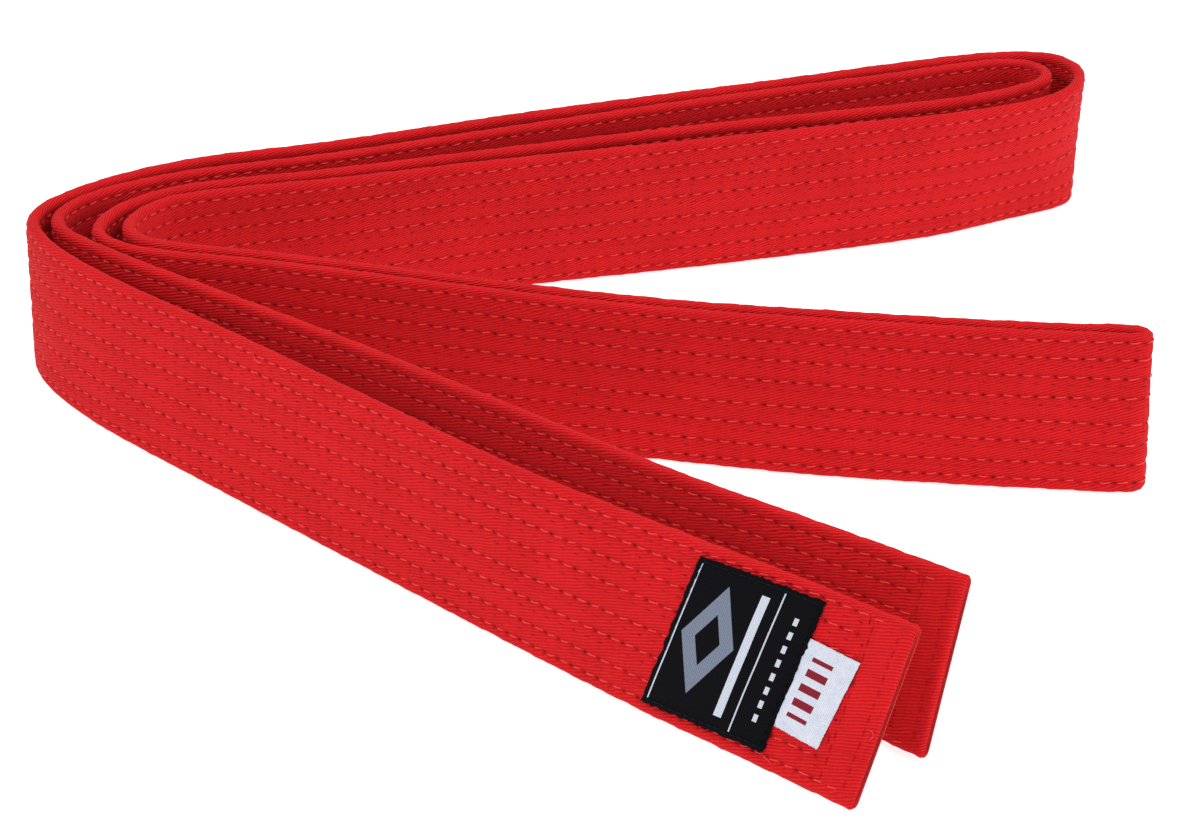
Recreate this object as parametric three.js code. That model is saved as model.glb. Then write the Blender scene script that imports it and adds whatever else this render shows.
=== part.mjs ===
// A cotton martial arts belt, folded for storage and standing on its long edge.
// Millimetres, +Z up. The belt is swept along its plan path from the labelled front end
// to the second end: every run of the zigzag fold is the same strap, 40 mm wide.
// The strap is built as it is sewn: a twill cover around a padded core, eight rows of
// stitching along it, hemmed ends, and two woven labels on the front end.
import * as THREE from "three";

const BELT_WIDTH = 40;
const BELT_THICKNESS = 3.6;
const EDGE_CHAMFER = 0.9;
const COVER_WALL = 0.7;
const CORE_CLEARANCE = 0.3;

const ROW_HEIGHTS = [-17.3, -12.9, -7.5, -2.4, 3.8, 9.0, 13.7, 17.9];
const ROW_END_MARGIN = 10.5;
const THREAD_WIDTH = 0.7;
const THREAD_HEIGHT = 0.25;
const THREAD_CLEARANCE = 0.15;
const SEAM_CLEARANCE = 0.3;

const CUT_GAP = 1.0;
const HEM_DEPTH = 5;
const HEM_BOX = { near: 3, far: 9.3, low: -17, high: 17 };
const WOVEN_LABEL = { near: 23, far: 57, low: -17.5, high: 17.5, lift: 0.6, height: 0.4 };
const SIZE_LABEL = { near: 10.5, far: 22.6, low: -11, high: 9, lift: 0.85, height: 0.3 };
const LABEL_SEAM_INSET = 1.4;
const LABEL_BENDS = [33, 46];

const TURN_STEP = THREE.MathUtils.degToRad(28);
const CHORD_TOLERANCE = 0.5;
const LEAN_STEP = THREE.MathUtils.degToRad(3);
const LONGEST_STEP = 95;
const SAMPLES_PER_SPAN = 24;

const halfThickness = BELT_THICKNESS / 2;

const FOLD = { x: 126.4, y: -24.3, radius: 2.3, lean: 4 };

// Plan path of the strap's mid height: x, y in millimetres and the strap's lean in
// degrees, positive where its top edge tips towards the left of the direction of travel.
const FRONT_END = [
  [58.3, -169.8, -31], [50.2, -162.5, -29.5], [33.4, -147.8, -24.5], [15.4, -132.6, -18.5],
  [-19.6, -99.7, -9], [-56.5, -60.3, -8], [-88.3, -26.0, -7], [-121.6, 9.6, -4],
  [-134.2, 26.4, -2], [-139.6, 36.3, -1],
];
const OUTER_LOOP = [
  [-143.0, 47.2, 0], [-141.6, 57.2, -1], [-135.9, 66.8, -3], [-126.6, 76.8, -4],
  [-107.0, 90.0, -5], [-71.6, 103.2, -6], [-16, 126.8, -6], [49.7, 151.3, -6],
  [83.9, 164.7, -6], [104, 171.2, -5], [118, 173.0, -4], [127.0, 170.4, -2],
  [131.7, 164, 0], [131.8, 156.5, 4], [127.0, 148.3, 12], [118, 141.3, 16],
  [94.4, 128.6, 14], [72, 121.1, 12], [27.7, 107.5, 11], [-33, 90.4, 11],
  [-70.4, 78.0, 10], [-92.4, 71.4, 8], [-110.5, 62.6, 4], [-117.0, 53.1, 2],
  [-118.4, 43.4, 0], [-114.4, 35.8, 0], [-106, 31.2, 0],
];
const DOUBLED_END_OUT = [
  [-85.7, 25.9, 0], [-66.6, 20.2, 0], [-36, 10.3, 0], [-5.3, 0.8, 0], [24.4, -6.9, 1],
  [53.1, -12.7, 4], [81.4, -17.2, 4], [109.2, -20.6, 4],
];
const DOUBLED_END_BACK = [
  [108.8, -25.2, -4], [80.6, -21.8, -4], [52.3, -17.4, -4], [23.6, -11.6, -1],
  [-6.5, -4.1, 0], [-37.7, 5.4, 0], [-67.7, 15.3, 0], [-86.9, 20.9, 0], [-109.3, 26.5, 0],
];
const INNER_LOOP = [
  [-119.2, 31.4, 0], [-125.6, 40.4, 0], [-124.4, 52.0, -1], [-118.4, 62.2, -3],
  [-108.7, 70.6, -5], [-94.4, 77.2, -8], [-70.8, 84.8, -10], [-33, 97.8, -10],
  [27, 117.6, -10], [80.9, 133.2, -10], [98, 139.0, -10], [113, 146.7, -9],
  [121.3, 153, -6], [123.2, 159.4, 0], [119.4, 165.0, 3], [112.5, 166.6, 4],
  [98, 162.8, 5], [83.1, 157.0, 6], [27, 136.2, 7], [-33, 111.0, 7], [-71.2, 94.8, 7],
  [-105.4, 82.2, 5], [-119.2, 74.6, 4], [-128.9, 66.6, 2], [-134.9, 58.4, 1],
  [-136.9, 49.6, 0], [-134.2, 40.5, 1], [-118.4, 22.6, 3],
];
const SECOND_END = [
  [-95.3, 2.2, 3], [-65.7, -24, 3], [-23, -64, 3], [19.7, -104.2, 4], [46.6, -128.6, 12],
  [72.1, -150.8, 20],
];

// The tight turn at the doubled end, from the rear run round to the front run.
function foldTurn() {
  const steps = 4;
  const points = [];
  for (let i = 0; i <= steps; i += 1) {
    const turned = i / steps;
    const angle = Math.PI * (0.5 - turned);
    points.push([
      FOLD.x + FOLD.radius * Math.cos(angle),
      FOLD.y + FOLD.radius * Math.sin(angle),
      FOLD.lean * (1 - 2 * turned),
    ]);
  }
  return points;
}

// One smooth curve through a list of points, measured along its length.
class BeltPath {
  constructor(points) {
    const leanScale = 0.001;
    const vectors = points.map(([x, y, lean]) => new THREE.Vector3(x, y, lean * leanScale));
    this.curve = new THREE.CatmullRomCurve3(vectors, false, "centripetal");
    this.spans = points.length - 1;
    this.leanScale = leanScale;
    this.measure();
  }

  measure() {
    const count = this.spans * SAMPLES_PER_SPAN;
    this.samples = [];
    let travelled = 0;
    for (let i = 0; i <= count; i += 1) {
      const point = this.curve.getPoint(i / count);
      if (i > 0) {
        const last = this.samples[i - 1].point;
        travelled += Math.hypot(point.x - last.x, point.y - last.y);
      }
      this.samples.push({ point, travelled });
    }
    this.length = travelled;
  }

  distanceToPoint(index) {
    return this.samples[index * SAMPLES_PER_SPAN].travelled;
  }

  at(distance) {
    const { samples } = this;
    let low = 0;
    let high = samples.length - 1;
    while (high - low > 1) {
      const middle = (low + high) >> 1;
      if (samples[middle].travelled > distance) {
        high = middle;
      } else {
        low = middle;
      }
    }
    const from = samples[low];
    const to = samples[high];
    const share = (distance - from.travelled) / (to.travelled - from.travelled);
    const count = samples.length - 1;
    const u = THREE.MathUtils.clamp((low + share) / count, 0, 1);
    const point = this.curve.getPoint(u);
    const nudge = 0.25 / count;
    const before = this.curve.getPoint(Math.max(0, u - nudge));
    const after = this.curve.getPoint(Math.min(1, u + nudge));
    const heading = Math.atan2(after.y - before.y, after.x - before.x);
    const lean = THREE.MathUtils.degToRad(point.z / this.leanScale);
    return { x: point.x, y: point.y, heading, lean, distance };
  }
}

// The point of the strap's section that is `across` up from its middle line and
// `outward` to the left of it. The lowest corner of the section stands on z = 0.
function placeOnStrap(station, across, outward) {
  const { x, y, heading, lean } = station;
  const leftX = -Math.sin(heading);
  const leftY = Math.cos(heading);
  const up = { flat: Math.sin(lean), rise: Math.cos(lean) };
  const side = { flat: Math.cos(lean), rise: -Math.sin(lean) };
  const flat = across * up.flat + outward * side.flat;
  const middleHeight =
    (BELT_WIDTH / 2) * Math.cos(lean) + (BELT_THICKNESS / 2) * Math.abs(Math.sin(lean));
  return [
    x + leftX * flat,
    y + leftY * flat,
    middleHeight + across * up.rise + outward * side.rise,
  ];
}

function angleBetween(a, b) {
  return Math.abs(Math.atan2(Math.sin(a - b), Math.cos(a - b)));
}

// Stations along a stretch of the path, close together only where it turns or leans.
function stationsBetween(path, start, end, required = []) {
  const probe = 1;
  const stops = [...required.filter((stop) => stop > start && stop < end), end];
  const stations = [path.at(start)];
  let distance = start;
  for (const stop of stops) {
    while (distance < stop) {
      const last = stations[stations.length - 1];
      let next = distance;
      while (next < stop) {
        const ahead = path.at(Math.min(next + probe, stop));
        const turned = angleBetween(ahead.heading, last.heading);
        const leaned = Math.abs(ahead.lean - last.lean);
        const stepped = ahead.distance - last.distance;
        const bulge = (stepped * turned) / 8;
        const tooCurved = turned > TURN_STEP || bulge > CHORD_TOLERANCE;
        if (tooCurved || leaned > LEAN_STEP || stepped > LONGEST_STEP) {
          break;
        }
        next = ahead.distance;
      }
      distance = next > distance ? next : Math.min(distance + probe, stop);
      stations.push(path.at(distance));
    }
  }
  return stations;
}

class MeshBuilder {
  constructor() {
    this.positions = [];
    this.triangles = [];
  }

  addRing(station, outline) {
    const first = this.positions.length / 3;
    for (const [outward, across] of outline) {
      this.positions.push(...placeOnStrap(station, across, outward));
    }
    return first;
  }

  // Every four-sided face is split from its lower corner on the first ring to its upper
  // corner on the second, so that faces of nested pieces stay parallel where it twists.
  joinRings(ringA, ringB, outline, inward = false) {
    const count = outline.length;
    for (let i = 0; i < count; i += 1) {
      const j = (i + 1) % count;
      const rises = outline[j][1] >= outline[i][1];
      const faces = rises
        ? [[ringA + i, ringA + j, ringB + j], [ringA + i, ringB + j, ringB + i]]
        : [[ringA + i, ringA + j, ringB + i], [ringA + j, ringB + j, ringB + i]];
      for (const face of faces) {
        this.triangles.push(...(inward ? face.reverse() : face));
      }
    }
  }

  // Closes an end of the sweep; a hole's outline leaves an opening there.
  addCap(ring, outline, facesBack, holeRing = null, hole = []) {
    const contour = outline.map(([outward, across]) => new THREE.Vector2(outward, across));
    const opening = hole.map(([outward, across]) => new THREE.Vector2(outward, across));
    const faces = THREE.ShapeUtils.triangulateShape(contour, opening.length ? [opening] : []);
    const indexOf = (i) => (i < outline.length ? ring + i : holeRing + i - outline.length);
    for (const [i, j, k] of faces) {
      const corners = facesBack ? [k, j, i] : [i, j, k];
      this.triangles.push(...corners.map(indexOf));
    }
  }

  build() {
    const geometry = new THREE.BufferGeometry();
    geometry.setAttribute("position", new THREE.Float32BufferAttribute(this.positions, 3));
    geometry.setIndex(this.triangles);
    geometry.computeVertexNormals();
    return geometry;
  }
}

function rowHeightsBetween(low, high) {
  const clear = (height) => height > low + THREAD_WIDTH && height < high - THREAD_WIDTH;
  return ROW_HEIGHTS.filter(clear);
}

function rectangle(width, height, outward = 0, across = 0) {
  const w = width / 2;
  const h = height / 2;
  return [
    [outward + w, across - h],
    [outward + w, across + h],
    [outward - w, across + h],
    [outward - w, across - h],
  ];
}

// The strap's section. Its left face has a corner line at the height of every row.
function strapOutline() {
  const w = BELT_THICKNESS / 2;
  const h = BELT_WIDTH / 2;
  const c = EDGE_CHAMFER;
  return [
    [w, -h + c], ...rowHeightsBetween(-h, h).map((height) => [w, height]), [w, h - c],
    [w - c, h], [-w + c, h], [-w, h - c], [-w, -h + c], [-w + c, -h], [w - c, -h],
  ];
}

// A label's section, with corner lines on both faces at the height of every row.
function labelOutline({ low, high, lift, height }) {
  const inner = halfThickness + lift;
  const outer = inner + height;
  const heights = [low, ...rowHeightsBetween(low, high), high];
  return [
    ...heights.map((across) => [outer, across]),
    ...heights.slice().reverse().map((across) => [inner, across]),
  ];
}

// A solid bar with the given section, following the stations.
function sweepSolid(stations, outline) {
  const builder = new MeshBuilder();
  const rings = stations.map((station) => builder.addRing(station, outline));
  for (let i = 1; i < rings.length; i += 1) {
    builder.joinRings(rings[i - 1], rings[i], outline);
  }
  builder.addCap(rings[0], outline, true);
  builder.addCap(rings[rings.length - 1], outline, false);
  return builder.build();
}

// The cover: a sleeve around the core, sewn shut at a hemmed end and open at a cut.
function sweepSleeve(stations, outline, hollow, hemmedAtStart, hemmedAtEnd) {
  const builder = new MeshBuilder();
  const last = stations.length - 1;
  const outer = stations.map((station) => builder.addRing(station, outline));
  for (let i = 1; i <= last; i += 1) {
    builder.joinRings(outer[i - 1], outer[i], outline);
  }
  const firstInner = hemmedAtStart ? 1 : 0;
  const lastInner = hemmedAtEnd ? last - 1 : last;
  const inner = [];
  for (let i = firstInner; i <= lastInner; i += 1) {
    inner.push(builder.addRing(stations[i], hollow));
  }
  for (let i = 1; i < inner.length; i += 1) {
    builder.joinRings(inner[i - 1], inner[i], hollow, true);
  }
  const innerEnd = inner[inner.length - 1];
  if (hemmedAtStart) {
    builder.addCap(outer[0], outline, true);
    builder.addCap(inner[0], hollow, false);
  } else {
    builder.addCap(outer[0], outline, true, inner[0], hollow);
  }
  if (hemmedAtEnd) {
    builder.addCap(outer[last], outline, false);
    builder.addCap(innerEnd, hollow, true);
  } else {
    builder.addCap(outer[last], outline, false, innerEnd, hollow);
  }
  return builder.build();
}

// A closed rectangle of thread lying on the strap's left face.
function threadFrame(path, distances, low, high, lift) {
  const half = THREAD_WIDTH / 2;
  const [near, ...others] = distances;
  const far = others[others.length - 1];
  const between = others.slice(0, -1);
  const loop = (grow) => [
    [near - grow, low - grow],
    ...between.map((distance) => [distance, low - grow]),
    [far + grow, low - grow],
    [far + grow, high + grow],
    ...between.slice().reverse().map((distance) => [distance, high + grow]),
    [near - grow, high + grow],
  ];
  const builder = new MeshBuilder();
  const addLoop = (grow, outward) => {
    const first = builder.positions.length / 3;
    for (const [distance, across] of loop(grow)) {
      builder.positions.push(...placeOnStrap(path.at(distance), across, outward));
    }
    return first;
  };
  const flatLoop = loop(0).map(() => [0, 0]);
  const bottom = lift;
  const top = lift + THREAD_HEIGHT;
  const rings = [
    addLoop(half, bottom), addLoop(half, top), addLoop(-half, top), addLoop(-half, bottom),
  ];
  for (let i = 0; i < rings.length; i += 1) {
    builder.joinRings(rings[(i + 1) % rings.length], rings[i], flatLoop);
  }
  return builder.build();
}

const RED_TWILL = { color: 0xcd191e, roughness: 0.86 };
const RED_THREAD = { color: 0xe23a3c, roughness: 0.6 };
const CORE_COTTON = { color: 0xe9e2d2, roughness: 0.95 };
const LABEL_BLACK = { color: 0x0b0b0f, roughness: 0.7 };
const LABEL_WHITE = { color: 0xe6e9f0, roughness: 0.75 };
const LABEL_THREAD = { color: 0x15151a, roughness: 0.6 };

const belt = new THREE.Group();

function addPiece(name, geometry, look) {
  const material = new THREE.MeshStandardMaterial({ metalness: 0, ...look });
  const mesh = new THREE.Mesh(geometry, material);
  mesh.name = name;
  belt.add(mesh);
}

const coverOutline = strapOutline();
const hollowOutline = rectangle(BELT_THICKNESS - 2 * COVER_WALL, BELT_WIDTH - 2 * COVER_WALL);
const coreInset = 2 * (COVER_WALL + CORE_CLEARANCE);
const coreOutline = rectangle(BELT_THICKNESS - coreInset, BELT_WIDTH - coreInset);
const threadOutward = halfThickness + THREAD_CLEARANCE + THREAD_HEIGHT / 2;

// Each stretch of the strap gets its own cover, core and stitch rows.
function addStretch(path, { name, start, end, hemmedAtStart, hemmedAtEnd, stops }) {
  const hemStops = [];
  if (hemmedAtStart) {
    hemStops.push(start + HEM_DEPTH);
  }
  if (hemmedAtEnd) {
    hemStops.push(end - HEM_DEPTH);
  }
  const allStops = [...stops, ...hemStops].sort((a, b) => a - b);
  const stations = stationsBetween(path, start, end, allStops);
  const sleeve = sweepSleeve(stations, coverOutline, hollowOutline, hemmedAtStart, hemmedAtEnd);
  addPiece(`cover_${name}`, sleeve, RED_TWILL);

  const coreStart = hemmedAtStart ? start + HEM_DEPTH + CORE_CLEARANCE : start;
  const coreEnd = hemmedAtEnd ? end - HEM_DEPTH - CORE_CLEARANCE : end;
  const inside = (low, high) => [
    path.at(low),
    ...stations.filter(({ distance }) => distance > low + 0.5 && distance < high - 0.5),
    path.at(high),
  ];
  addPiece(`core_${name}`, sweepSolid(inside(coreStart, coreEnd), coreOutline), CORE_COTTON);

  const rowStart = hemmedAtStart ? start + ROW_END_MARGIN : start;
  const rowEnd = hemmedAtEnd ? end - ROW_END_MARGIN : end;
  const rowStations = inside(rowStart, rowEnd);
  for (let row = 0; row < ROW_HEIGHTS.length; row += 1) {
    const section = rectangle(THREAD_HEIGHT, THREAD_WIDTH, threadOutward, ROW_HEIGHTS[row]);
    addPiece(`stitch_row_${row + 1}_${name}`, sweepSolid(rowStations, section), RED_THREAD);
  }
}

// A label is a flat woven patch sewn to the left face near the front end.
function addLabel(path, name, label, look) {
  const stations = stationsBetween(path, label.near, label.far, labelStops);
  addPiece(name, sweepSolid(stations, labelOutline(label)), look);
}

const runs = [
  FRONT_END, OUTER_LOOP, DOUBLED_END_OUT, foldTurn(), DOUBLED_END_BACK, INNER_LOOP,
  SECOND_END,
];
const path = new BeltPath(runs.flat());
const cutAfter = (runCount) => {
  const points = runs.slice(0, runCount).flat().length;
  return path.distanceToPoint(points - 1);
};
const cuts = [cutAfter(1), cutAfter(2), cutAfter(5), cutAfter(6)];

const labelStops = [
  HEM_BOX.near, HEM_BOX.far, SIZE_LABEL.near, WOVEN_LABEL.near, ...LABEL_BENDS,
  WOVEN_LABEL.far,
];
const secondHemStops = [path.length - HEM_BOX.far, path.length - HEM_BOX.near];

const stretches = [
  { name: "front_end", start: 0, end: cuts[0] },
  { name: "outer_loop", start: cuts[0], end: cuts[1] },
  { name: "doubled_end", start: cuts[1], end: cuts[2] },
  { name: "inner_loop", start: cuts[2], end: cuts[3] },
  { name: "second_end", start: cuts[3], end: path.length },
];
stretches.forEach(({ name, start, end }, index) => {
  const isFirst = index === 0;
  const isLast = index === stretches.length - 1;
  addStretch(path, {
    name,
    start: isFirst ? start : start + CUT_GAP / 2,
    end: isLast ? end : end - CUT_GAP / 2,
    hemmedAtStart: isFirst,
    hemmedAtEnd: isLast,
    stops: [...(isFirst ? labelStops : []), ...(isLast ? secondHemStops : [])],
  });
});

addLabel(path, "woven_label", WOVEN_LABEL, LABEL_BLACK);
addLabel(path, "size_label", SIZE_LABEL, LABEL_WHITE);

const hemLift = halfThickness + SEAM_CLEARANCE;
addPiece(
  "hem_stitch_front_end",
  threadFrame(path, [HEM_BOX.near, HEM_BOX.far], HEM_BOX.low, HEM_BOX.high, hemLift),
  RED_THREAD,
);
addPiece(
  "hem_stitch_second_end",
  threadFrame(path, secondHemStops, HEM_BOX.low, HEM_BOX.high, hemLift),
  RED_THREAD,
);
addPiece(
  "label_stitch",
  threadFrame(
    path,
    [WOVEN_LABEL.near + LABEL_SEAM_INSET, ...LABEL_BENDS, WOVEN_LABEL.far - LABEL_SEAM_INSET],
    WOVEN_LABEL.low + LABEL_SEAM_INSET,
    WOVEN_LABEL.high - LABEL_SEAM_INSET,
    halfThickness + WOVEN_LABEL.lift + WOVEN_LABEL.height + SEAM_CLEARANCE,
  ),
  LABEL_THREAD,
);

// The origin is the middle of the belt's footprint, on the surface it stands on.
const box = new THREE.Box3().setFromObject(belt);
const middle = box.getCenter(new THREE.Vector3());
belt.position.set(-middle.x, -middle.y, -box.min.z);
belt.updateMatrixWorld(true);

export default belt;
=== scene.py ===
import math

import bpy
import numpy as np
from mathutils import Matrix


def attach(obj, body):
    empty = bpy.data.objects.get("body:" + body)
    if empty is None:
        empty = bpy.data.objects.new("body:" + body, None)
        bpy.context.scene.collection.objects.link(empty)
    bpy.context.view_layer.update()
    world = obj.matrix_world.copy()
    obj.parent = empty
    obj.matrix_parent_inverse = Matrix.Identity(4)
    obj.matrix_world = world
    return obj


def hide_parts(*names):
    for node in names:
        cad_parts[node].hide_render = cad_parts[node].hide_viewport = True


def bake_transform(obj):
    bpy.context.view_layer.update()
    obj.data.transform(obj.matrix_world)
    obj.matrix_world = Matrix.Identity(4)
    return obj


# A cotton martial arts belt: quilted twill cover, padding, stitching and woven labels.
# Lengths in this script are millimetres in the strap's own terms (distance along it,
# height across it, outward from its middle), and metres once placed in the frame.
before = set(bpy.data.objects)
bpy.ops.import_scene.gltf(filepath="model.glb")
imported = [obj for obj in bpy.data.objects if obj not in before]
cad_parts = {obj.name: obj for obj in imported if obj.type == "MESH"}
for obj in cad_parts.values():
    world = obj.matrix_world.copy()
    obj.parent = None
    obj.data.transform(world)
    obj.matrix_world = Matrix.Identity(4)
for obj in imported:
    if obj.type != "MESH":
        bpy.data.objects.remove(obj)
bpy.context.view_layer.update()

MM = 0.001
PLAN_SHIFT = (5.022, 0.942)

WIDTH = 40.0
HALF_THICKNESS = 1.78
ROW_HEIGHTS = np.array([-17.3, -12.9, -7.5, -2.4, 3.8, 9.0, 13.7, 17.9])
ROW_COUNT = len(ROW_HEIGHTS)
ROW_REACH = 2.1
# The needle goes through aslant, so each row sits lower on the right face.
RIGHT_FACE_DROP = 0.8
EDGE_ROUND = 1.7
STITCH_PITCH = 4.1
GROOVE_DEPTH = 0.34
GROOVE_WIDTH = 0.8
RING_STEP = STITCH_PITCH / 3
THREAD_RADIUS = 0.18

HEM_NEAR = 3.0
HEM_FAR = 9.3
HEM_EXTRA = 0.22
END_ROUND = 1.3
CORNER_ROUND = 1.1

TWILL_ANGLE = math.radians(17)
TWILL_PITCH = 0.68

FOLD = {"x": 126.4, "y": -24.3, "radius": 2.3, "lean": 4}

# Plan route of the strap's mid height, as in the CAD source: x, y and the lean in
# degrees, positive where its top edge tips towards the left of the direction of travel.
FRONT_END = [
    (58.3, -169.8, -31), (50.2, -162.5, -29.5), (33.4, -147.8, -24.5),
    (15.4, -132.6, -18.5), (-19.6, -99.7, -9), (-56.5, -60.3, -8), (-88.3, -26.0, -7),
    (-121.6, 9.6, -4), (-134.2, 26.4, -2), (-139.6, 36.3, -1),
]
OUTER_LOOP = [
    (-143.0, 47.2, 0), (-141.6, 57.2, -1), (-135.9, 66.8, -3), (-126.6, 76.8, -4),
    (-107.0, 90.0, -5), (-71.6, 103.2, -6), (-16, 126.8, -6), (49.7, 151.3, -6),
    (83.9, 164.7, -6), (104, 171.2, -5), (118, 173.0, -4), (127.0, 170.4, -2),
    (131.7, 164, 0), (131.8, 156.5, 4), (127.0, 148.3, 12), (118, 141.3, 16),
    (94.4, 128.6, 14), (72, 121.1, 12), (27.7, 107.5, 11), (-33, 90.4, 11),
    (-70.4, 78.0, 10), (-92.4, 71.4, 8), (-110.5, 62.6, 4), (-117.0, 53.1, 2),
    (-118.4, 43.4, 0), (-114.4, 35.8, 0), (-106, 31.2, 0),
]
DOUBLED_END_OUT = [
    (-85.7, 25.9, 0), (-66.6, 20.2, 0), (-36, 10.3, 0), (-5.3, 0.8, 0), (24.4, -6.9, 1),
    (53.1, -12.7, 4), (81.4, -17.2, 4), (109.2, -20.6, 4),
]
DOUBLED_END_BACK = [
    (108.8, -25.2, -4), (80.6, -21.8, -4), (52.3, -17.4, -4), (23.6, -11.6, -1),
    (-6.5, -4.1, 0), (-37.7, 5.4, 0), (-67.7, 15.3, 0), (-86.9, 20.9, 0),
    (-109.3, 26.5, 0),
]
INNER_LOOP = [
    (-119.2, 31.4, 0), (-125.6, 40.4, 0), (-124.4, 52.0, -1), (-118.4, 62.2, -3),
    (-108.7, 70.6, -5), (-94.4, 77.2, -8), (-70.8, 84.8, -10), (-33, 97.8, -10),
    (27, 117.6, -10), (80.9, 133.2, -10), (98, 139.0, -10), (113, 146.7, -9),
    (121.3, 153, -6), (123.2, 159.4, 0), (119.4, 165.0, 3), (112.5, 166.6, 4),
    (98, 162.8, 5), (83.1, 157.0, 6), (27, 136.2, 7), (-33, 111.0, 7), (-71.2, 94.8, 7),
    (-105.4, 82.2, 5), (-119.2, 74.6, 4), (-128.9, 66.6, 2), (-134.9, 58.4, 1),
    (-136.9, 49.6, 0), (-134.2, 40.5, 1), (-118.4, 22.6, 3),
]
SECOND_END = [
    (-95.3, 2.2, 3), (-65.7, -24, 3), (-23, -64, 3), (19.7, -104.2, 4),
    (46.6, -128.6, 12), (72.1, -150.8, 20),
]


def fold_turn():
    """The tight turn at the doubled end, from the rear run round to the front run."""
    points = []
    steps = 4
    for i in range(steps + 1):
        turned = i / steps
        angle = math.pi * (0.5 - turned)
        points.append((
            FOLD["x"] + FOLD["radius"] * math.cos(angle),
            FOLD["y"] + FOLD["radius"] * math.sin(angle),
            FOLD["lean"] * (1 - 2 * turned),
        ))
    return points


class Strap:
    """The belt's route: a centripetal Catmull-Rom curve, measured along its length."""

    SAMPLES_PER_SPAN = 40

    def __init__(self, points):
        points = np.array(points, float)
        curve = self.spline(points)
        steps = np.hypot(*np.diff(curve[:, :2], axis=0).T)
        self.travelled = np.concatenate([[0], np.cumsum(steps)])
        self.length = self.travelled[-1]
        self.x, self.y = curve[:, 0], curve[:, 1]
        self.lean = np.radians(curve[:, 2])
        tangent = np.gradient(curve[:, :2], self.travelled, axis=0)
        self.heading = np.unwrap(np.arctan2(tangent[:, 1], tangent[:, 0]))
        self.point_count = len(points)

    def spline(self, points):
        padded = np.vstack([2 * points[0] - points[1], points, 2 * points[-1] - points[-2]])
        t = np.linspace(0, 1, self.SAMPLES_PER_SPAN, endpoint=False)[:, None]
        pieces = []
        for p0, p1, p2, p3 in zip(padded, padded[1:], padded[2:], padded[3:]):
            d0, d1, d2 = (math.dist(a[:2], b[:2]) ** 0.5 for a, b in ((p0, p1), (p1, p2), (p2, p3)))
            t1 = ((p1 - p0) / d0 - (p2 - p0) / (d0 + d1) + (p2 - p1) / d1) * d1
            t2 = ((p2 - p1) / d1 - (p3 - p1) / (d1 + d2) + (p3 - p2) / d2) * d1
            c2 = -3 * p1 + 3 * p2 - 2 * t1 - t2
            c3 = 2 * p1 - 2 * p2 + t1 + t2
            pieces.append(p1 + t1 * t + c2 * t**2 + c3 * t**3)
        return np.vstack(pieces + [points[-1:]])

    def distance_to_point(self, index):
        return self.travelled[index * self.SAMPLES_PER_SPAN]

    def place(self, distance, across, outward):
        """Frame positions, in metres, of points given in the strap's own terms."""
        distance, across, outward = np.broadcast_arrays(distance, across, outward)
        x = np.interp(distance, self.travelled, self.x)
        y = np.interp(distance, self.travelled, self.y)
        lean = np.interp(distance, self.travelled, self.lean)
        heading = np.interp(distance, self.travelled, self.heading)
        flat = across * np.sin(lean) + outward * np.cos(lean)
        middle_height = WIDTH / 2 * np.cos(lean) + HALF_THICKNESS * np.abs(np.sin(lean))
        z = middle_height + across * np.cos(lean) - outward * np.sin(lean)
        x = x - np.sin(heading) * flat + PLAN_SHIFT[0]
        y = y + np.cos(heading) * flat + PLAN_SHIFT[1]
        return np.stack([x, y, z], axis=-1) * MM


RUNS = [
    FRONT_END, OUTER_LOOP, DOUBLED_END_OUT, fold_turn(), DOUBLED_END_BACK, INNER_LOOP,
    SECOND_END,
]
strap = Strap([point for run in RUNS for point in run])
rng = np.random.RandomState(11)
ROW_PHASES = rng.uniform(0, 1, ROW_COUNT)


def ripple(distance, wavelengths, seed):
    """A smooth irregular wave along the strap, between about -1 and 1."""
    shifts = np.random.RandomState(seed).uniform(0, 2 * math.pi, len(wavelengths))
    waves = [np.sin(2 * math.pi * distance / w + s) for w, s in zip(wavelengths, shifts)]
    return sum(waves) / len(wavelengths)


def row_wander(distance, row):
    """How far a sewn row strays from its straight line."""
    slow = np.sin(distance / 31 + 2.1 * row) + np.sin(distance / 17 + 1.3 * row * row)
    return 0.11 * slow


def smoothstep(x):
    x = np.clip(x, 0, 1)
    return x * x * (3 - 2 * x)


def from_end(distance):
    """Distance to the nearer cut end of the belt."""
    return np.minimum(distance, strap.length - distance)


def half_thickness(distance, height, gap, phase):
    """The quilted surface: how far it stands out, `gap` away from its nearest row."""
    to_end = from_end(distance)
    pull = 0.8 + 0.2 * np.cos(2 * math.pi * phase)
    sewn = smoothstep((to_end - HEM_FAR + 1) / 2)
    groove = GROOVE_DEPTH * pull * np.exp(-((gap / GROOVE_WIDTH) ** 2)) * sewn
    pillow = 0.08 * np.cos(2 * math.pi * phase) * np.exp(-(((gap - 1.3) / 0.6) ** 2)) * sewn
    swell = 0.05 * ripple(distance + 0.9 * height, (41, 23, 13, 7.3), 3)
    doubled = HEM_EXTRA * smoothstep((HEM_FAR + 0.6 - to_end) / 1.2)
    seams = sum(
        0.3 * np.exp(-(((to_end - seam) / 0.7) ** 2)) * smoothstep((18 - np.abs(height)) / 2)
        for seam in (HEM_NEAR, HEM_FAR)
    )
    return HALF_THICKNESS - 0.06 - groove + pillow + swell + doubled - seams


def rows_on(side):
    """Heights of the sewn rows on the left (1) or the right (-1) face."""
    return ROW_HEIGHTS if side > 0 else ROW_HEIGHTS - RIGHT_FACE_DROP


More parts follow.
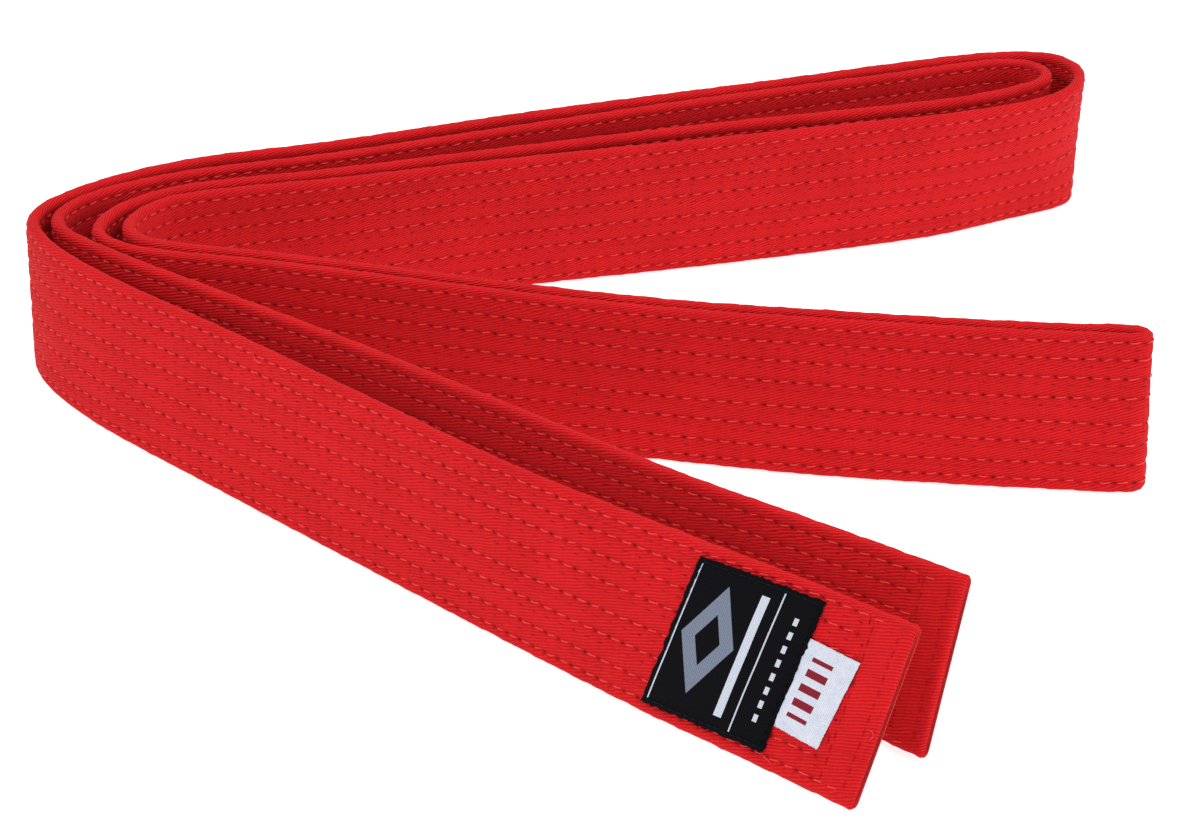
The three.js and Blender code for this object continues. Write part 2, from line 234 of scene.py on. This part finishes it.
def section_columns():
    """The cover's outline, column by column: up the left face, over the top edge, down
    the right face and under the bottom edge. `side` is 1 on the left face, -1 on the
    right, and in between round an edge."""
    offsets = np.array([-1.5, -0.8, -0.35, 0, 0.35, 0.8, 1.5])
    face_top = WIDTH / 2 - EDGE_ROUND
    faces = []
    for side in (1, -1):
        middles = rows_on(side)
        heights, rows = [], []
        for row, middle in enumerate(middles):
            near = [middle + offset for offset in offsets if abs(middle + offset) < face_top]
            if row < ROW_COUNT - 1:
                near.append((middle + middles[row + 1]) / 2)
            heights += near
            rows += [row] * len(near)
        faces.append((np.array(heights), np.array(rows)))
    (left, left_rows), (right, right_rows) = faces
    angles = np.linspace(0, math.pi, 11)[1:-1]
    top = face_top + EDGE_ROUND * np.sin(angles)
    height = np.concatenate([left, top, right[::-1], -top])
    side = np.concatenate([
        np.ones(len(left)), np.cos(angles), -np.ones(len(right)), -np.cos(angles),
    ])
    last = np.full(len(angles), ROW_COUNT - 1)
    row = np.concatenate([left_rows, last, right_rows[::-1], 0 * last])
    return height, side, row


HEIGHT, SIDE, ROW = section_columns()
OFFSET = HEIGHT - np.where(SIDE > 0, ROW_HEIGHTS[ROW], ROW_HEIGHTS[ROW] - RIGHT_FACE_DROP)
GAP = np.minimum(np.abs(OFFSET), ROW_REACH)


def girth_of_columns():
    """How far round the section each column is, with one more for the closed loop."""
    outward = SIDE * HALF_THICKNESS
    points = np.stack([outward, HEIGHT], axis=1)
    steps = np.hypot(*np.diff(np.vstack([points, points[:1]]), axis=0).T)
    return np.concatenate([[0], np.cumsum(steps)])


GIRTH = girth_of_columns()


def mesh_object(name, vertices, faces, material, uv_maps=None, smooth=True):
    mesh = bpy.data.meshes.new(name)
    mesh.from_pydata(vertices.reshape(-1, 3).tolist(), [], faces)
    for uv_name, values in (uv_maps or {}).items():
        layer = mesh.uv_layers.new(name=uv_name)
        layer.data.foreach_set("uv", np.asarray(values, np.float32).ravel())
    mesh.polygons.foreach_set("use_smooth", [smooth] * len(mesh.polygons))
    mesh.materials.append(material)
    mesh.update()
    piece = bpy.data.objects.new(name, mesh)
    bpy.context.scene.collection.objects.link(piece)
    return piece


def tube_faces(rings, columns):
    """Quads of a closed tube, each ring joined to the next."""
    ring = np.arange(rings - 1)[:, None] * columns
    column = np.arange(columns)[None, :]
    following = (column + 1) % columns
    a, b = ring + column, ring + following
    return np.stack([a, b, b + columns, a + columns], axis=-1).reshape(-1, 4)


def ring_distances(start, end):
    """Where the rings of a stretch stand, closer together round a hemmed end."""
    count = max(2, int(round((end - start) / RING_STEP)) + 1)
    rings = list(np.linspace(start, end, count))
    tip = [0.0, 0.12, 0.35, 0.7, 1.1, 1.6, 2.2]
    if start <= 0:
        rings = tip + [r for r in rings if r > tip[-1] + 0.3]
    if end >= strap.length:
        far_tip = [strap.length - t for t in reversed(tip)]
        rings = [r for r in rings if r < far_tip[0] - 0.3] + far_tip
    return np.array(rings)


def rounded_end(to_end, radius):
    """1 inside the strap, falling along a quarter circle over the last `radius`."""
    share = np.clip(1 - to_end / radius, 0, 1)
    return np.sqrt(np.clip(1 - share**2, 0, 1))


def cover_surface(distance, height, side, gap, row):
    """Frame positions on the cover for arrays of distances and section columns."""
    to_end = from_end(distance)
    phase = distance / STITCH_PITCH + ROW_PHASES[row]
    outward = side * half_thickness(distance, height, gap, phase)
    outward = outward * (0.3 + 0.7 * rounded_end(to_end, END_ROUND))
    corner = CORNER_ROUND * (1 - rounded_end(to_end, CORNER_ROUND))
    edge_share = (np.abs(height) / (WIDTH / 2)) ** 6
    wave = 0.2 * ripple(distance + 40 * side, (23, 11, 6.1, 3.7), 5) * edge_share
    inner_share = np.clip((WIDTH / 2 - np.abs(height)) / EDGE_ROUND, 0, 1)
    across = height + np.sign(height) * (wave - corner * edge_share)
    across = across + row_wander(distance, row) * inner_share
    return strap.place(distance, across, outward)


def build_cover(name, start, end, material):
    rings = ring_distances(start, end)
    columns = len(HEIGHT)
    vertices = cover_surface(rings[:, None], HEIGHT, SIDE, GAP, ROW)
    quads = tube_faces(len(rings), columns)
    ring_index, column_index = quads // columns, quads % columns
    # The last face round the section runs on to the end of the girth, not back to 0.
    girth = GIRTH[column_index]
    wraps = (column_index == 0) & (column_index.max(axis=1) == columns - 1)[:, None]
    girth[wraps] = GIRTH[-1]
    distance = rings[ring_index]
    fabric = np.stack([distance, girth], axis=-1)
    face_row = ROW[column_index[:, 0]]
    phase = distance / STITCH_PITCH + ROW_PHASES[face_row][:, None]
    offset = OFFSET[column_index]
    in_hem = from_end(distance) < HEM_FAR + 0.5
    on_edge = np.abs(SIDE[column_index]).min(axis=1) < 0.999
    offset = np.where(in_hem | on_edge[:, None], ROW_REACH, offset)
    stitches = np.stack([phase, offset], axis=-1)
    faces = quads.tolist()
    first, last = vertices[0], vertices[-1]
    all_vertices = np.concatenate([vertices.reshape(-1, 3), first, last])
    base = vertices.shape[0] * columns
    faces.append([base + i for i in reversed(range(columns))])
    faces.append([base + columns + i for i in range(columns)])
    cap_uv = np.stack([np.zeros(columns), GIRTH[:-1]], axis=-1)
    far = np.full_like(cap_uv, ROW_REACH)
    return mesh_object(
        name, all_vertices, faces, material,
        {
            "fabric": np.vstack([fabric.reshape(-1, 2), cap_uv, cap_uv]),
            "stitches": np.vstack([stitches.reshape(-1, 2), far, far]),
        },
    )


def build_core(name, start, end, material):
    """The padding: a flat bar inside the cover."""
    margin = 2.0
    low, high = max(start, margin), min(end, strap.length - margin)
    rings = np.linspace(low, high, max(2, int((high - low) / 4)))
    half_width = WIDTH / 2 - 2.0
    angles = np.linspace(0, 2 * math.pi, 17)[:-1]
    round_off = lambda v: np.sign(v) * np.abs(v) ** 0.35
    outward = 0.95 * round_off(np.cos(angles))
    across = half_width * round_off(np.sin(angles))
    vertices = strap.place(rings[:, None], across, outward)
    columns = len(angles)
    faces = tube_faces(len(rings), columns).tolist()
    faces.append(list(range(columns))[::-1])
    faces.append(list(range(vertices.size // 3))[-columns:])
    return mesh_object(name, vertices, faces, material)


def thread_tubes(name, centres, material, radius=THREAD_RADIUS):
    """Short thread tubes. `centres` has, for each stitch and ring, the distance along
    the strap, the height across it and the signed distance outward."""
    sides = 6
    angles = np.linspace(0, 2 * math.pi, sides, endpoint=False)
    stitches, rings = centres.shape[:2]
    taper = np.full(rings, radius)
    taper[[0, -1]] *= 0.55
    ring_radius = taper[None, :, None]
    distance = centres[..., 0:1] + 0 * angles
    across = centres[..., 1:2] + ring_radius * np.sin(angles)
    outward = centres[..., 2:3] + ring_radius * np.cos(angles)
    vertices = strap.place(distance, across, outward)
    one = tube_faces(rings, sides)
    quads = (one[None] + (np.arange(stitches) * rings * sides)[:, None, None]).reshape(-1, 4)
    corner_ring = (quads // sides) % rings
    corner_side = quads % sides
    wraps = (corner_side == 0) & (corner_side.max(axis=1) == sides - 1)[:, None]
    around = np.where(wraps, sides, corner_side) / sides
    uv = np.stack([corner_ring / (rings - 1), around], axis=-1)
    ends = []
    for stitch in range(stitches):
        base = stitch * rings * sides
        ends.append([base + i for i in reversed(range(sides))])
        ends.append([base + (rings - 1) * sides + i for i in range(sides)])
    end_uv = np.zeros((len(ends) * sides, 2))
    return mesh_object(
        name, vertices, quads.tolist() + ends, material,
        {"thread": np.vstack([uv.reshape(-1, 2), end_uv])},
    )


STITCH_STEPS = np.linspace(0, 1, 6)
STITCH_ARCH = np.sin(math.pi * STITCH_STEPS)


def row_stitches(row, start, end):
    """Centre lines of one row's stitches on both faces, between two distances."""
    first_hole = math.ceil(start / STITCH_PITCH + ROW_PHASES[row])
    last_hole = math.floor(end / STITCH_PITCH + ROW_PHASES[row])
    holes = np.arange(first_hole, last_hole)
    if len(holes) == 0:
        return np.zeros((0, len(STITCH_STEPS), 3))
    lines = []
    for side in (1, -1):
        jitter = np.random.RandomState(100 + 2 * row + (side > 0) + int(start))
        slant = jitter.normal(0.16, 0.08, len(holes))[:, None]
        drift = jitter.normal(0, 0.05, len(holes))[:, None]
        lift = jitter.normal(0.12, 0.05, len(holes))[:, None]
        inset = 0.13 + jitter.uniform(0, 0.14, len(holes))[:, None]
        along = inset + (1 - 1.6 * inset) * STITCH_STEPS
        phase = holes[:, None] + along
        distance = (phase - ROW_PHASES[row]) * STITCH_PITCH
        height = rows_on(side)[row] + drift - side * slant * (STITCH_STEPS - 0.5) * 2
        height = height + row_wander(distance, row)
        surface = half_thickness(distance, height, np.abs(drift), phase)
        outward = side * (surface - 0.2 + (0.2 + lift) * STITCH_ARCH)
        lines.append(np.stack(np.broadcast_arrays(distance, height, outward), axis=-1))
    return np.concatenate(lines)


def seam_stitches(points, at_end, side, seed, pitch=2.9, lift=0.16, surface_of=None):
    """Stitches along straight seams between corner points (distance from the end,
    height), on one face of the strap."""
    lines = []
    jitter = np.random.RandomState(seed)
    for (d0, h0), (d1, h1) in points:
        length = math.hypot(d1 - d0, h1 - h0)
        count = max(1, round(length / pitch))
        for i in range(count):
            t = (i + 0.08 + 0.84 * STITCH_STEPS) / count
            to_end = d0 + (d1 - d0) * t + jitter.normal(0, 0.05)
            height = h0 + (h1 - h0) * t + jitter.normal(0, 0.05)
            distance = strap.length - to_end if at_end else to_end
            if surface_of is None:
                surface = half_thickness(distance, height, ROW_REACH, 0.25)
            else:
                surface = surface_of(distance, height)
            outward = side * (surface - 0.2 + (0.2 + lift) * STITCH_ARCH)
            lines.append(np.stack([distance, height, outward], axis=-1))
    return np.array(lines)


# ---------------------------------------------------------------------------- materials


class Shader:
    """A material's node tree, written as arithmetic on its sockets."""

    def __init__(self, name):
        self.material = bpy.data.materials.new(name)
        self.material.use_nodes = True
        self.tree = self.material.node_tree
        self.surface = self.tree.nodes["Principled BSDF"]

    def node(self, kind, **settings):
        made = self.tree.nodes.new(kind)
        for key, value in settings.items():
            setattr(made, key, value)
        return made

    def feed(self, socket, value):
        if isinstance(value, bpy.types.NodeSocket):
            self.tree.links.new(value, socket)
        else:
            socket.default_value = value

    def math(self, operation, a, b=0.0, c=0.0, clamp=False):
        made = self.node("ShaderNodeMath", operation=operation, use_clamp=clamp)
        for socket, value in zip(made.inputs, (a, b, c)):
            self.feed(socket, value)
        return made.outputs[0]

    def add(self, a, b):
        return self.math("ADD", a, b)

    def times(self, a, b):
        return self.math("MULTIPLY", a, b)

    def wave(self, phase):
        """A cosine from 0 to 1 with its peak at every whole number."""
        turned = self.math("COSINE", self.times(phase, 2 * math.pi))
        return self.math("MULTIPLY_ADD", turned, 0.5, 0.5)

    def bell(self, squared_distance, radius):
        """A soft spot: 1 at its middle, falling off over `radius`."""
        return self.math("EXPONENT", self.times(squared_distance, -1 / radius**2))

    def uv(self, name):
        parts = self.node("ShaderNodeSeparateXYZ")
        self.feed(parts.inputs[0], self.node("ShaderNodeUVMap", uv_map=name).outputs[0])
        return parts.outputs[0], parts.outputs[1]

    def noise(self, scale, detail=2.0, roughness=0.5, vector=None):
        made = self.node("ShaderNodeTexNoise")
        made.inputs["Scale"].default_value = scale
        made.inputs["Detail"].default_value = detail
        made.inputs["Roughness"].default_value = roughness
        if vector is None:
            vector = self.node("ShaderNodeTexCoord").outputs["Object"]
        self.feed(made.inputs["Vector"], vector)
        return made.outputs[0]

    def vector(self, x, y, z=0.0):
        made = self.node("ShaderNodeCombineXYZ")
        for socket, value in zip(made.inputs, (x, y, z)):
            self.feed(socket, value)
        return made.outputs[0]

    def mix(self, share, a, b):
        made = self.node("ShaderNodeMix", data_type="RGBA")
        self.feed(made.inputs["Factor"], share)
        for socket, value in ((made.inputs[6], a), (made.inputs[7], b)):
            self.feed(socket, value if isinstance(value, bpy.types.NodeSocket) else (*value, 1))
        return made.outputs[2]

    def bump(self, height, distance, strength=1.0):
        made = self.node("ShaderNodeBump")
        made.inputs["Strength"].default_value = strength
        made.inputs["Distance"].default_value = distance
        self.feed(made.inputs["Height"], height)
        self.tree.links.new(made.outputs[0], self.surface.inputs["Normal"])

    def finish(self, color, roughness, specular, sheen=0.0, sheen_tint=(1, 1, 1)):
        self.feed(
            self.surface.inputs["Base Color"],
            color if isinstance(color, bpy.types.NodeSocket) else (*color, 1),
        )
        self.feed(self.surface.inputs["Roughness"], roughness)
        self.surface.inputs["Specular IOR Level"].default_value = specular
        self.surface.inputs["Sheen Weight"].default_value = sheen
        self.surface.inputs["Sheen Tint"].default_value = (*sheen_tint, 1)
        return self.material


YARN_PITCH = 0.45
# A short pressed crease in the cloth, slanting across the face of the doubled end, with a painted
# highlight along its ridge.
CREASE = {"distance": 1215.8, "girth": 27.3, "slant": 0.22, "reach": 4.2}

# Painted shade for the needle holes.
RED_HOLE_SHADE = (0.09, 0.001, 0.002)
# RED_DEEP and RED_BRIGHT: the painted shade of the twill's grooves and of the spots round the
# needle holes takes the deep red, the painted highlight of its ridge tops and crease the bright
# red, and the cloth's own uneven colour runs between the two.
RED_DEEP = (0.37, 0.003, 0.005)
RED_BRIGHT = (0.76, 0.014, 0.018)


def red_twill():
    """Cotton twill: diagonal ridges of yarn, with needle holes along every row; its ridge tops,
    needle holes, the spots round them and a crease carry painted highlight and painted shade.
    """
    s = Shader("red_twill")
    along, around = s.uv("fabric")
    cloth = s.vector(along, around)
    waver = s.noise(0.16, 2.0, 0.5, cloth)
    across_ridges = s.add(
        s.times(along, math.sin(TWILL_ANGLE) / TWILL_PITCH),
        s.times(around, math.cos(TWILL_ANGLE) / TWILL_PITCH),
    )
    phase = s.add(across_ridges, s.times(waver, 1.1))
    ridge = s.wave(phase)
    yarn_phase = s.add(s.times(along, 1 / YARN_PITCH), s.times(s.math("FLOOR", phase), 0.37))
    yarn = s.wave(yarn_phase)
    fuzz = s.noise(3.4, 3.0, 0.65, cloth)
    streaks = s.noise(1.0, 2.0, 0.6, s.vector(s.times(along, 1.3), s.times(around, 0.16)))
    stitch, offset = s.uv("stitches")
    from_hole = s.times(s.add(s.math("FRACT", s.add(stitch, 0.5)), -0.5), STITCH_PITCH)
    reach = s.add(s.times(s.times(from_hole, from_hole), 0.5), s.times(offset, offset))
    vary = s.math("MULTIPLY_ADD", s.noise(0.31, 1.0, 0.5, cloth), 2.4, -0.55, clamp=True)
    hole = s.times(s.bell(reach, 0.34), vary)
    dent_shade = s.bell(reach, 0.85)
    height = s.add(s.times(ridge, 0.75), s.times(yarn, 0.12))
    height = s.add(height, s.times(fuzz, 0.45))
    height = s.add(height, s.times(hole, -1.4))
    # Ridge tops painted lighter and grooves darker, a painted highlight and painted shade over the
    # bump; the fuzz, streak and speckle noise adds the cloth's own uneven colour.
    ridge_shade_and_tone = s.add(s.times(ridge, 0.62), s.times(fuzz, 0.42))
    ridge_shade_and_tone = s.add(ridge_shade_and_tone, s.times(s.add(streaks, -0.5), 0.35))
    ridge_shade_and_tone = s.add(ridge_shade_and_tone, s.times(s.add(s.noise(60, 3.0, 0.6), -0.5), 0.35))
    color = s.mix(s.math("MULTIPLY_ADD", ridge_shade_and_tone, 1.1, -0.06, clamp=True), RED_DEEP, RED_BRIGHT)
    # Painted shade: a soft darker spot round each needle hole, where the thread pulls the cloth in.
    color = s.mix(s.times(dent_shade, 0.35), color, RED_DEEP)
    # Painted shade: each needle hole is painted nearly black.
    color = s.mix(s.times(hole, 0.95), color, RED_HOLE_SHADE)
    crease = s.times(
        s.math("SUBTRACT", around, CREASE["girth"]), CREASE["slant"]
    )
    from_crease = s.math("SUBTRACT", s.add(along, crease), CREASE["distance"])
    from_middle = s.math("SUBTRACT", around, CREASE["girth"])
    crease = s.times(
        s.bell(s.times(from_crease, from_crease), 0.22),
        s.bell(s.times(from_middle, from_middle), CREASE["reach"]),
    )
    # Painted highlight: the crease's ridge is painted lighter, besides its bump.
    color = s.mix(s.times(crease, 0.45), color, RED_BRIGHT)
    height = s.add(height, s.times(crease, 1.2))
    s.bump(height, 0.00026)
    return s.finish(color, 0.85, 0.10, 0.06, (1, 0.15, 0.15))


def thread_material(name, dark, light, specular, sheen_tint):
    """Twisted sewing thread, its plies painted lighter and the twist grooves darker: painted
    highlight and painted shade, with a matching bump.
    """
    s = Shader(name)
    along, around = s.uv("thread")
    twist = s.wave(s.add(s.times(along, 7), s.times(around, 2)))
    # The dark and light colours are shaded and lit copies of one thread colour, mixed along the
    # twist as painted shade and painted highlight.
    color = s.mix(s.math("MULTIPLY_ADD", twist, 0.7, 0.2), dark, light)
    s.bump(twist, 0.00008)
    return s.finish(color, 0.6, specular, 0.3 * specular, sheen_tint)


def core_material():
    s = Shader("core_padding")
    fibres = s.noise(1400, 4.0, 0.7)
    color = s.mix(fibres, (0.66, 0.60, 0.48), (0.88, 0.84, 0.74))
    s.bump(fibres, 0.0003)
    return s.finish(color, 0.95, 0.1)


def boxed(s, x, y, left, right, low, high):
    """1 inside a rectangle of the label, 0 outside."""
    inside_x = s.times(s.math("GREATER_THAN", x, left), s.math("LESS_THAN", x, right))
    inside_y = s.times(s.math("GREATER_THAN", y, low), s.math("LESS_THAN", y, high))
    return s.times(inside_x, inside_y)


def diamond(s, x, y, middle, reach):
    """1 inside a diamond with the given middle and half diagonals."""
    dx = s.math("ABSOLUTE", s.times(s.add(x, -middle[0]), 1 / reach[0]))
    dy = s.math("ABSOLUTE", s.times(s.add(y, -middle[1]), 1 / reach[1]))
    return s.math("LESS_THAN", s.add(dx, dy), 1.0)


def woven_label_material():
    """Black damask label with a plain woven pattern: a grey diamond and white stripes."""
    s = Shader("label_black")
    x, y = s.uv("label")
    grey = diamond(s, x, y, (0.30, 0.52), (0.21, 0.36))
    cut = diamond(s, x, y, (0.30, 0.52), (0.10, 0.17))
    grey = s.times(grey, s.math("SUBTRACT", 1.0, cut))
    white = boxed(s, x, y, 0.55, 0.615, 0.10, 0.90)
    white = s.math("MAXIMUM", white, boxed(s, x, y, 0.70, 0.712, 0.04, 0.96))
    dashes = s.math("GREATER_THAN", s.wave(s.times(y, 11)), 0.45)
    white = s.math("MAXIMUM", white, s.times(dashes, boxed(s, x, y, 0.84, 0.875, 0.12, 0.88)))
    white = s.math("MAXIMUM", white, boxed(s, x, y, 0.035, 0.047, 0.04, 0.96))
    weft = s.wave(s.times(y, 95))
    warp = s.wave(s.times(x, 70))
    weave = s.times(weft, warp)
    # Painted highlight on the raised yarn crossings and painted shade between them: each colour of
    # the label comes as a darker and a lighter copy, mixed by the weave.
    color = s.mix(weave, (0.0015, 0.0015, 0.0025), (0.006, 0.006, 0.009))
    color = s.mix(grey, color, s.mix(weave, (0.13, 0.155, 0.21), (0.24, 0.27, 0.35)))
    color = s.mix(white, color, s.mix(weave, (0.42, 0.46, 0.54), (0.68, 0.71, 0.78)))
    raised = s.add(s.times(weave, 0.5), s.times(s.math("MAXIMUM", grey, white), 0.8))
    s.bump(raised, 0.00012)
    return s.finish(color, 0.8, 0.06)


def size_label_material():
    """White taffeta label with plain dark red bars."""
    s = Shader("label_white")
    x, y = s.uv("label")
    bars = s.math("GREATER_THAN", s.wave(s.times(y, 6)), 0.5)
    bars = s.times(bars, boxed(s, x, y, 0.30, 0.66, 0.16, 0.84))
    weave = s.times(s.wave(s.times(x, 34)), s.wave(s.times(y, 60)))
    cloud = s.noise(450, 3.0, 0.6)
    color = s.mix(cloud, (0.44, 0.48, 0.60), (0.66, 0.67, 0.72))
    color = s.mix(bars, color, (0.20, 0.010, 0.022))
    s.bump(s.add(weave, cloud), 0.00008)
    return s.finish(color, 0.7, 0.12)


# ------------------------------------------------------------------------------- pieces

TWILL = red_twill()
# Each thread's two colours are its painted shade and painted highlight along the twist.
RED_THREAD = thread_material(
    "red_thread", (0.55, 0.012, 0.016), (0.92, 0.060, 0.055), 0.25, (1, 0.4, 0.4)
)
BLACK_THREAD = thread_material(
    "label_thread", (0.002, 0.002, 0.003), (0.008, 0.008, 0.010), 0.06, (1, 1, 1)
)
PADDING = core_material()

# Where the three lengths of the visual model meet, on the straight runs behind the bends.
FRONT_SEAM = strap.distance_to_point(len(FRONT_END) + 5)
SECOND_SEAM = strap.distance_to_point(strap.point_count - len(SECOND_END) - 8)
STRETCHES = [
    ("front", "front_end", 0.0, FRONT_SEAM, ["front_end"]),
    ("middle", "doubled_end", FRONT_SEAM, SECOND_SEAM,
     ["outer_loop", "doubled_end", "inner_loop"]),
    ("second", "second_end", SECOND_SEAM, strap.length, ["second_end"]),
]


def bend_with(piece):
    """Bakes the piece's placement into its mesh."""
    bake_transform(piece)


def add_stretch(name, body, start, end, stands_for):
    cover = build_cover(f"cover_{name}", start, end, TWILL)
    bend_with(cover)
    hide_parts(*[f"cover_{node}" for node in stands_for])

    core = build_core(f"core_{name}", start, end, PADDING)
    bend_with(core)
    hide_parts(*[f"core_{node}" for node in stands_for])

    for row in range(ROW_COUNT):
        at_edge = row in (0, ROW_COUNT - 1)
        margin = HEM_NEAR if at_edge else HEM_FAR
        row_start = max(start, margin + 0.3)
        row_end = min(end, strap.length - margin - 0.3)
        lines = row_stitches(row, row_start, row_end + (STITCH_PITCH if end < strap.length else 0))
        threads = thread_tubes(f"stitch_row_{row + 1}_{name}", lines, RED_THREAD)
        bend_with(threads)
        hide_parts(*[f"stitch_row_{row + 1}_{node}" for node in stands_for])


def add_hem(name, body, at_end):
    reach = 17
    seams = [((HEM_NEAR, -reach), (HEM_NEAR, reach)), ((HEM_FAR, -reach), (HEM_FAR, reach))]
    both = [seam_stitches(seams, at_end, side, 40 + side + 5 * at_end) for side in (1, -1)]
    hem = thread_tubes(f"hem_seams_{name}", np.concatenate(both), RED_THREAD)
    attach(hem, body)
    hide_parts(f"hem_stitch_{name}")


def label_piece(name, corners, lift, height, fray, material):
    """A thin woven patch. `corners` are (distance, height) at far-low, near-low,
    near-high and far-high; its x runs from the far side to the near side."""
    steps = 48
    share = np.linspace(0, 1, steps)
    u, v = np.meshgrid(share, share, indexing="ij")
    far_low, near_low, near_high, far_high = (np.array(c, float) for c in corners)
    low = far_low + (near_low - far_low) * u[..., None]
    high = far_high + (near_high - far_high) * u[..., None]
    spot = low + (high - low) * v[..., None]
    frayed = np.random.RandomState(7).normal(0, fray, (steps, steps, 2))
    on_rim = (u == 0) | (u == 1) | (v == 0) | (v == 1)
    spot = spot + frayed * on_rim[..., None]
    edge = np.minimum(np.minimum(u, 1 - u), np.minimum(v, 1 - v))
    bulge = 0.10 * smoothstep(edge / 0.08)
    cockle = 0.05 * np.sin(9 * u + 4 * v) * np.sin(13 * v - 3 * u)
    ground = HALF_THICKNESS + lift + bulge + cockle
    top = strap.place(spot[..., 0], spot[..., 1], ground + height)
    bottom = strap.place(spot[..., 0], spot[..., 1], ground)
    vertices = np.concatenate([top.reshape(-1, 3), bottom.reshape(-1, 3)])
    grid = np.arange(steps * steps).reshape(steps, steps)
    a, b, c, d = grid[:-1, :-1], grid[1:, :-1], grid[1:, 1:], grid[:-1, 1:]
    upper = np.stack([a, d, c, b], axis=-1).reshape(-1, 4)[:, ::-1]
    lower = upper[:, ::-1] + steps * steps
    rim = np.concatenate([grid[:-1, 0], grid[-1, :-1], grid[:0:-1, -1], grid[0, :0:-1]])
    after = np.roll(rim, -1)
    wall = np.stack([rim, rim + steps * steps, after + steps * steps, after], axis=-1)
    faces = np.concatenate([upper, lower, wall])
    flat_uv = np.stack([u.ravel(), v.ravel()], axis=-1)
    uv = flat_uv[faces % (steps * steps)]
    return mesh_object(name, vertices, faces.tolist(), material, {"label": uv})


WOVEN_CORNERS = [(59.2, -17.4), (25.0, -16.8), (21.2, 17.4), (52.4, 17.2)]
SIZE_CORNERS = [(27.0, -10.4), (12.2, -11.4), (9.2, 8.4), (24.0, 9.3)]
LABEL_LIFT = 0.16
LABEL_HEIGHT = 0.26


def add_labels():
    size_label = label_piece(
        "size_label_sheet", SIZE_CORNERS, 0.05, 0.12, 0.04, size_label_material()
    )
    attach(size_label, "front_end")
    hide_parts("size_label")

    woven = label_piece(
        "woven_label_sheet", WOVEN_CORNERS, LABEL_LIFT, LABEL_HEIGHT, 0.13,
        woven_label_material(),
    )
    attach(woven, "front_end")
    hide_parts("woven_label")

    inset = 1.0
    middle = np.mean(WOVEN_CORNERS, axis=0)
    corners = [np.array(c) + inset * np.sign(middle - np.array(c)) for c in WOVEN_CORNERS]
    seams = [(corners[i], corners[(i + 1) % 4]) for i in range(4)]
    top = HALF_THICKNESS + LABEL_LIFT + LABEL_HEIGHT + 0.1
    surface_of = lambda distance, height: np.full_like(distance, top)
    lines = seam_stitches(seams, False, 1, 61, pitch=2.2, lift=0.1, surface_of=surface_of)
    seam = thread_tubes("label_seam", lines, BLACK_THREAD, radius=0.17)
    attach(seam, "front_end")
    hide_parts("label_stitch")


# Loose thread ends: distance along the strap, height, side, length and curl in turns.
LOOSE_THREADS = [
    (1.6, -3.5, 1, 3.4, 0.35), (9.0, -16.4, -1, 3.0, -0.3), (24.6, -17.6, 1, 3.2, 0.2),
    (192.0, 18.2, 1, 3.6, 0.7),
]


def add_loose_threads():
    steps = np.linspace(0, 1, 12)
    lines = []
    for distance, height, side, length, curl in LOOSE_THREADS:
        angle = 2 * math.pi * (curl * steps + 0.35)
        reach = length * steps
        surface = half_thickness(distance, height, ROW_REACH, 0.25)
        lines.append(np.stack([
            distance + reach * np.cos(angle) * 0.8,
            height + reach * np.sin(angle) * 0.5,
            side * (surface + 0.1 + 0.5 * np.sin(math.pi * steps) + 0.3 * steps),
        ], axis=-1))
    threads = thread_tubes("loose_threads", np.array(lines), RED_THREAD, radius=0.12)
    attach(threads, "front_end")


for stretch in STRETCHES:
    add_stretch(*stretch)
add_hem("front_end", "front_end", False)
add_hem("second_end", "second_end", True)
add_labels()
add_loose_threads()

# -------------------------------------------------------------------------------- stage


def add_floor():
    bpy.ops.mesh.primitive_plane_add(size=6, location=(0, 0, -0.0002))
    floor = bpy.context.object
    floor.name = "floor"
    s = Shader("floor")
    s.finish((0.60, 0.60, 0.60), 0.9, 0.1)
    s.surface.inputs["Emission Color"].default_value = (1, 1, 1, 1)
    s.surface.inputs["Emission Strength"].default_value = 0.8
    floor.data.materials.append(s.material)


def add_light(name, azimuth, elevation, distance, size, power):
    """A square softbox. Azimuth 0 is the camera's side, and 90 is its right."""
    a, e = math.radians(azimuth), math.radians(elevation)
    place = np.array([math.sin(a) * math.cos(e), -math.cos(a) * math.cos(e), math.sin(e)])
    data = bpy.data.lights.new(name, "AREA")
    data.shape = "SQUARE"
    data.size = size
    data.energy = power
    light = bpy.data.objects.new(name, data)
    light.location = place * distance
    direction = -light.location.normalized()
    light.rotation_euler = direction.to_track_quat("-Z", "Y").to_euler()
    bpy.context.scene.collection.objects.link(light)


def add_camera():
    data = bpy.data.cameras.new("camera")
    data.lens = 115.5
    data.sensor_width = 36
    data.clip_start = 0.01
    camera = bpy.data.objects.new("camera", data)
    camera.location = (PLAN_SHIFT[0] * MM, (-853 + PLAN_SHIFT[1]) * MM, 0.404)
    camera.rotation_euler = (math.radians(90 - 25), 0, 0)
    bpy.context.scene.collection.objects.link(camera)
    bpy.context.scene.camera = camera


def add_world():
    world = bpy.data.worlds.new("studio")
    world.use_nodes = True
    world.node_tree.nodes["Background"].inputs["Color"].default_value = (1, 1, 1, 1)
    world.node_tree.nodes["Background"].inputs["Strength"].default_value = 0.86
    bpy.context.scene.world = world


add_floor()
add_light("key_left", -75, 35, 1.6, 0.9, 4.2)
add_light("key_right", 80, 30, 1.6, 0.8, 8)
add_light("top", 10, 80, 1.6, 0.9, 9)
add_camera()
add_world()
bpy.context.scene.view_settings.view_transform = "Standard"
